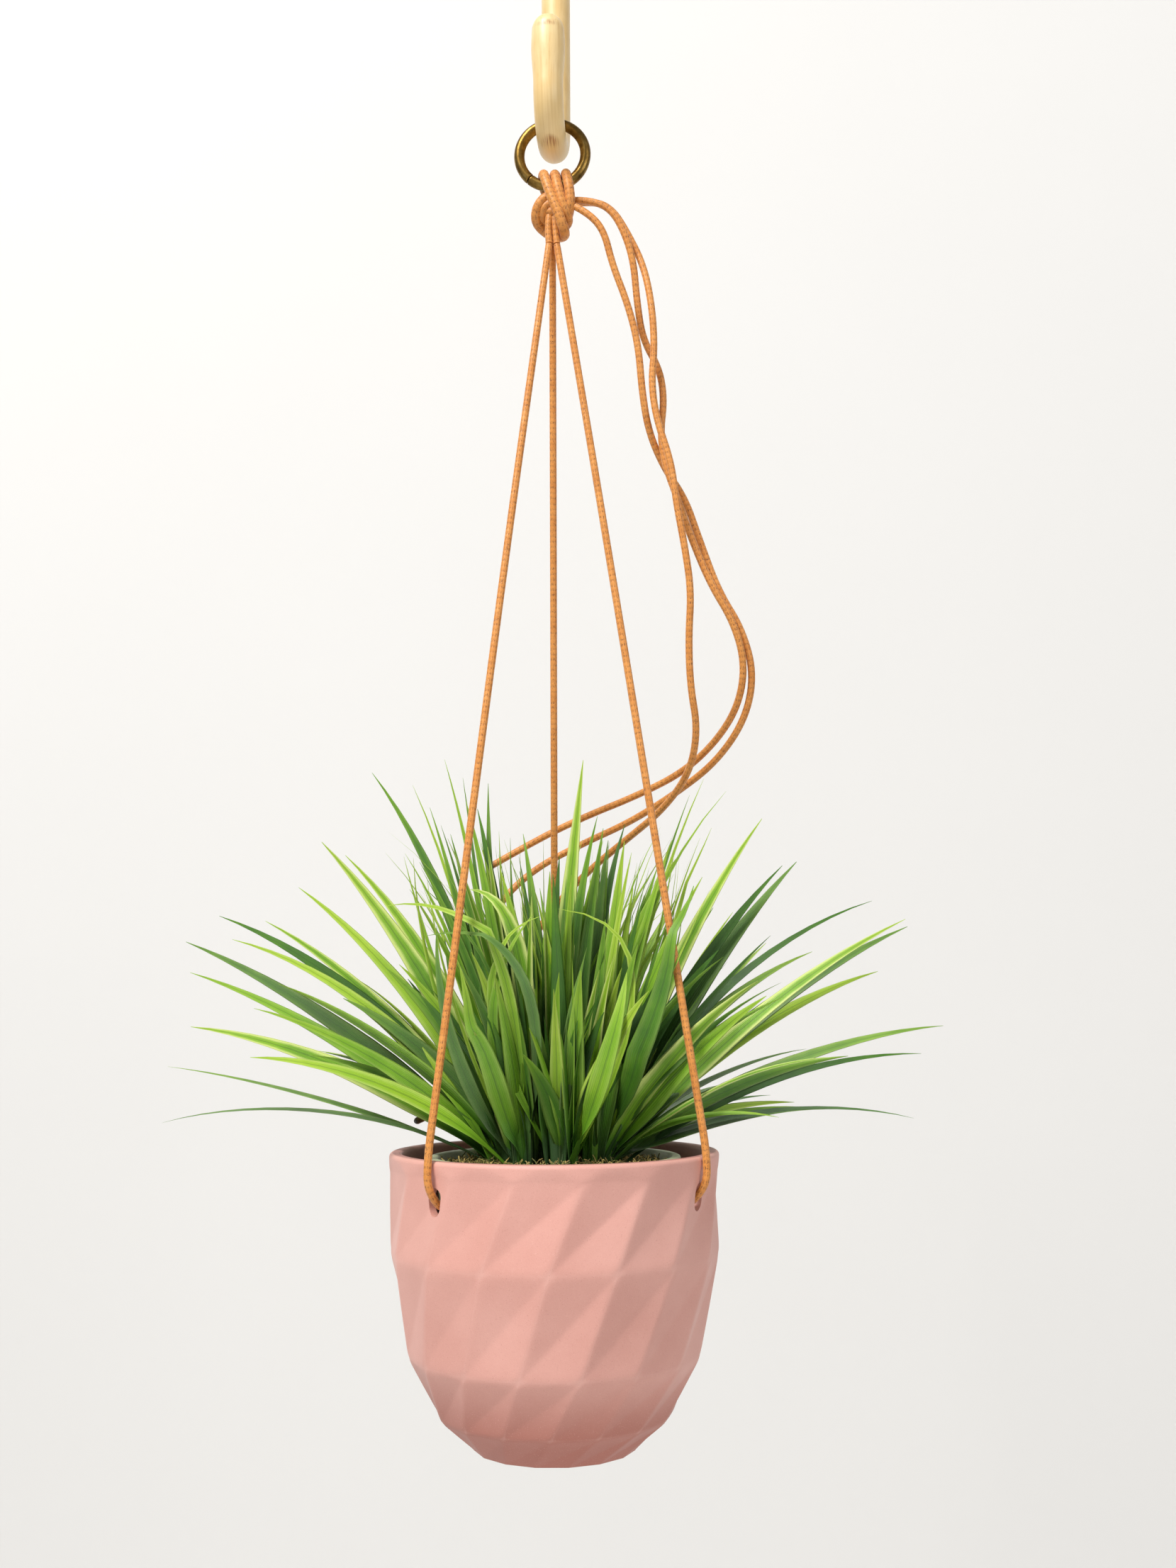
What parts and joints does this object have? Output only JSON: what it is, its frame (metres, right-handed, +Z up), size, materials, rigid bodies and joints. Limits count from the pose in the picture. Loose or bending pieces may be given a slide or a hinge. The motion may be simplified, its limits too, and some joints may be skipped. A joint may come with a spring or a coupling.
{
  "type": "hanging plant pot with cords and artificial grass",
  "caption": "Faceted ceramic pot hung by taut waxed cords hitched to a metal ring on a wooden hook, with loose cord tails and a lift-out liner of artificial grass.",
  "frame": {"origin": "mouth of the bore in the top of the hook's shank, where the planter is fixed overhead", "axes": "+Z up along the shank and its bore; -Y is the front, where the hook's tine is; +X is the viewer's right, where the loose cord tails hang"},
  "size_m": [0.3099, 0.2754, 0.637],
  "materials": {
    "hook_wood": "clear satin lacquer over pale straight-grained wood",
    "ring_brass": "antiqued brass plating, rubbed bright on the outside",
    "waxed_cord": "braided cotton, waxed, tan with darker flecks",
    "pot_glaze": "matt speckled pink glaze",
    "liner_plastic": "dull sage green polypropylene",
    "foam": "dry floral foam",
    "moss": "dried moss, brown and olive",
    "grass_leaf": "printed soft plastic leaves, dark to lime green with pale edges",
    "stem_plastic": "plastic-coated wire"
  },
  "bodies": {
    "hook": {"hanger_hook": "hook_wood"},
    "ring": {"hanging_ring": "ring_brass"},
    "hanger": {"hitch_knot": "waxed_cord", "cord_left": "waxed_cord", "cord_right": "waxed_cord", "cord_rear": "waxed_cord", "stopper_knot_left": "waxed_cord", "stopper_knot_right": "waxed_cord", "stopper_knot_rear": "waxed_cord", "loose_tail_long": "waxed_cord", "loose_tail_upper": "waxed_cord", "loose_tail_short": "waxed_cord", "plant_pot": "pot_glaze"},
    "plant": {"liner_pot": "liner_plastic", "foam_plug": "foam", "moss_layer": "moss", "spray_stem_1": "stem_plastic", "spray_stem_2": "stem_plastic", "spray_stem_3": "stem_plastic", "spray_stem_4": "stem_plastic", "spray_stem_5": "stem_plastic", "spray_stem_6": "stem_plastic", "spray_stem_7": "stem_plastic", "grass_spray_1": "grass_leaf", "grass_spray_2": "grass_leaf", "grass_spray_3": "grass_leaf", "grass_spray_4": "grass_leaf", "grass_spray_5": "grass_leaf", "grass_spray_6": "grass_leaf", "grass_spray_7": "grass_leaf"}
  },
  "joints": [
    {"name": "ring_swing", "type": "hinge", "parent": "hook", "child": "ring", "pos_m": [0, -0.017, -0.101], "axis": [0, 1, 0], "range_deg": [-25, 25]},
    {"name": "pot_swing", "type": "hinge", "parent": "ring", "child": "hanger", "pos_m": [0, -0.017, -0.12065], "axis": [1, 0, 0], "range_deg": [-25, 25]},
    {"name": "plant_lift", "type": "slide", "parent": "hanger", "child": "plant", "axis": [0, 0, 1], "range_m": [0, 0.085], "deforming": ["loose_tail_long", "loose_tail_upper", "loose_tail_short"]}
  ]
}
